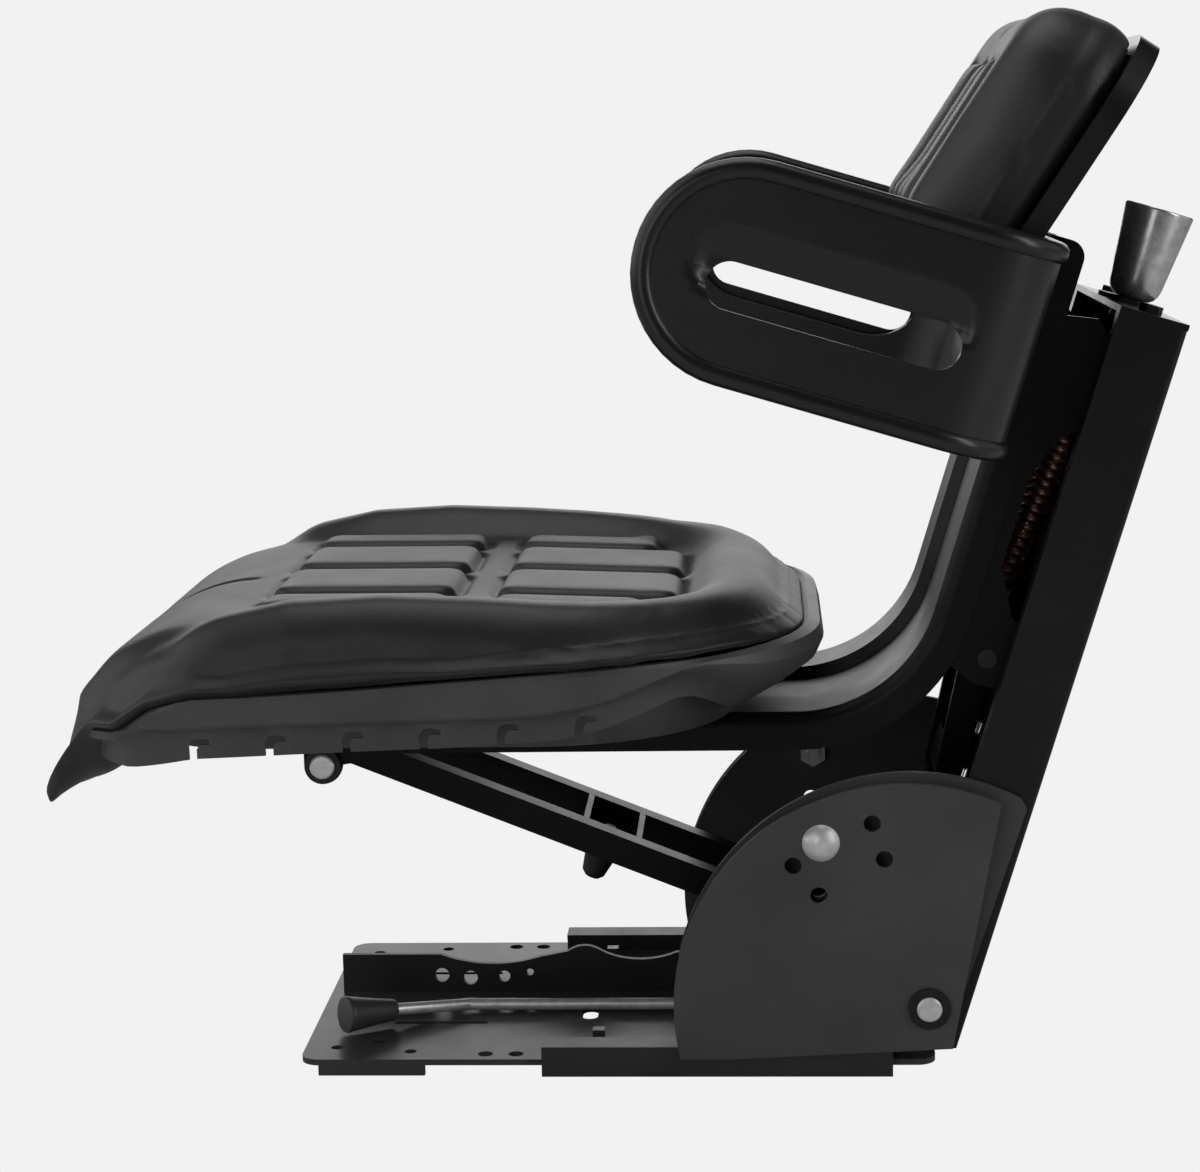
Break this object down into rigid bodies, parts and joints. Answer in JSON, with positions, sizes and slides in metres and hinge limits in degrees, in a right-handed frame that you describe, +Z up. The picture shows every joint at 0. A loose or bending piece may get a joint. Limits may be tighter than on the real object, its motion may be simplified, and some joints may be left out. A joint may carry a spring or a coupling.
{
  "type": "machine seat",
  "caption": "Sprung seat for a tractor or machine: dished cushion, wrap-around band and back rest on an L frame that rides on rollers up a leaning post with a weight knob, over a slide base.",
  "frame": {"origin": "centre of the base plate's four mounting holes, on the face of its feet", "axes": "+Z up, the sitter looks towards -Y, +X towards the sitter's left"},
  "size_m": [0.476, 0.7334, 0.6874],
  "materials": {
    "plate_grey": "satin",
    "rack_black": "satin",
    "rail_grey": "satin",
    "runner_nylon": "matte",
    "side_black": "satin",
    "tower_black": "gloss",
    "frame_black": "gloss",
    "zinc": "bright",
    "dark_steel": "dark",
    "rod_chrome": "polished",
    "spring_steel": "bright",
    "rubber": "matte",
    "knob_plastic": "gloss",
    "grip_plastic": "satin",
    "vinyl": "satin",
    "shell_plastic": "satin",
    "pan_plastic": "satin"
  },
  "bodies": {
    "base": {"lower_plate": "plate_grey", "lock_rack": "rack_black"},
    "stand": {"rail_left": "rail_grey", "rail_right": "rail_grey", "runner_left": "runner_nylon", "runner_right": "runner_nylon", "cross_plate": "rail_grey", "side_plate_left": "side_black", "side_plate_right": "side_black", "tilt_plate_left": "side_black", "tilt_plate_right": "side_black", "tower": "tower_black", "top_plate": "tower_black", "top_bolts": "dark_steel", "pivot_pin": "zinc", "pivot_rings": "dark_steel", "plate_spacers": "dark_steel", "carriage_bolts": "zinc", "carriage_nuts": "zinc", "thrust_washer": "dark_steel", "damper_rod": "rod_chrome", "spring_yoke": "frame_black"},
    "knob": {"weight_knob": "knob_plastic", "adjuster_screw": "dark_steel"},
    "seat": {"seat_frame": "frame_black", "carriage_left": "frame_black", "carriage_right": "frame_black", "roller_axles": "dark_steel", "anchor_bar": "dark_steel", "anchor_straps": "frame_black", "damper_tube": "frame_black", "front_ear_left": "frame_black", "front_ear_right": "frame_black", "seat_pan": "pan_plastic", "pan_bolts": "dark_steel", "cushion": "vinyl", "wing_shell": "shell_plastic", "wing_trim": "shell_plastic", "wing_lining": "vinyl", "back_shell": "shell_plastic", "back_pad": "vinyl", "back_bolts": "dark_steel", "spring_left": "spring_steel", "spring_right": "spring_steel"},
    "arms": {"arm_left": "frame_black", "arm_right": "frame_black", "arm_tie": "frame_black", "arm_hub_tube": "frame_black", "bump_stop": "rubber", "bump_bolt": "dark_steel", "front_pin": "zinc", "front_pin_rings": "dark_steel"},
    "lever": {"lever_rod": "zinc", "lever_grip": "grip_plastic", "lever_clip": "dark_steel"},
    "roller_1": {"upper_roller_left": "dark_steel"},
    "roller_2": {"upper_roller_right": "dark_steel"},
    "roller_3": {"lower_roller_left": "dark_steel"},
    "roller_4": {"lower_roller_right": "dark_steel"}
  },
  "joints": [
    {"name": "fore_aft", "type": "slide", "parent": "base", "child": "stand", "axis": [0, 1, 0], "range_m": [-0.06, 0.03]},
    {"name": "suspension", "type": "slide", "parent": "stand", "child": "seat", "axis": [0, 0.2924, 0.9563], "range_m": [-0.075, 0], "stiffness_N_per_m": 8000, "springref_m": 0.05, "deforming": ["spring_left", "spring_right"]},
    {"name": "arm_swing", "type": "hinge", "parent": "stand", "child": "arms", "pos_m": [0, 0.202, 0.048], "axis": [1, 0, 0], "range_deg": [-12, 12]},
    {"name": "weight_turn", "type": "hinge", "parent": "stand", "child": "knob", "pos_m": [0, 0.34311, 0.48901], "axis": [0, 0.2924, 0.9563], "continuous": true},
    {"name": "lever_swing", "type": "hinge", "parent": "stand", "child": "lever", "pos_m": [0.03, 0.112, 0.016], "axis": [0, 0, 1], "range_deg": [0, 4.3]},
    {"name": "roller_1_roll", "type": "hinge", "parent": "seat", "child": "roller_1", "pos_m": [0.108, 0.32527, 0.43068], "axis": [1, 0, 0], "range_deg": [-250, 250]},
    {"name": "roller_2_roll", "type": "hinge", "parent": "seat", "child": "roller_2", "pos_m": [-0.108, 0.32527, 0.43068], "axis": [1, 0, 0], "range_deg": [-250, 250]},
    {"name": "roller_3_roll", "type": "hinge", "parent": "seat", "child": "roller_3", "pos_m": [0.108, 0.27264, 0.25855], "axis": [1, 0, 0], "range_deg": [-250, 250]},
    {"name": "roller_4_roll", "type": "hinge", "parent": "seat", "child": "roller_4", "pos_m": [-0.108, 0.27264, 0.25855], "axis": [1, 0, 0], "range_deg": [-250, 250]}
  ],
  "couplings": [
    {"joint": "arm_swing", "follows": "suspension", "rad_per_m": -2.386},
    {"joint": "roller_1_roll", "follows": "suspension", "rad_per_m": 53.763},
    {"joint": "roller_2_roll", "follows": "suspension", "rad_per_m": 53.763},
    {"joint": "roller_3_roll", "follows": "suspension", "rad_per_m": 53.763},
    {"joint": "roller_4_roll", "follows": "suspension", "rad_per_m": 53.763}
  ]
}
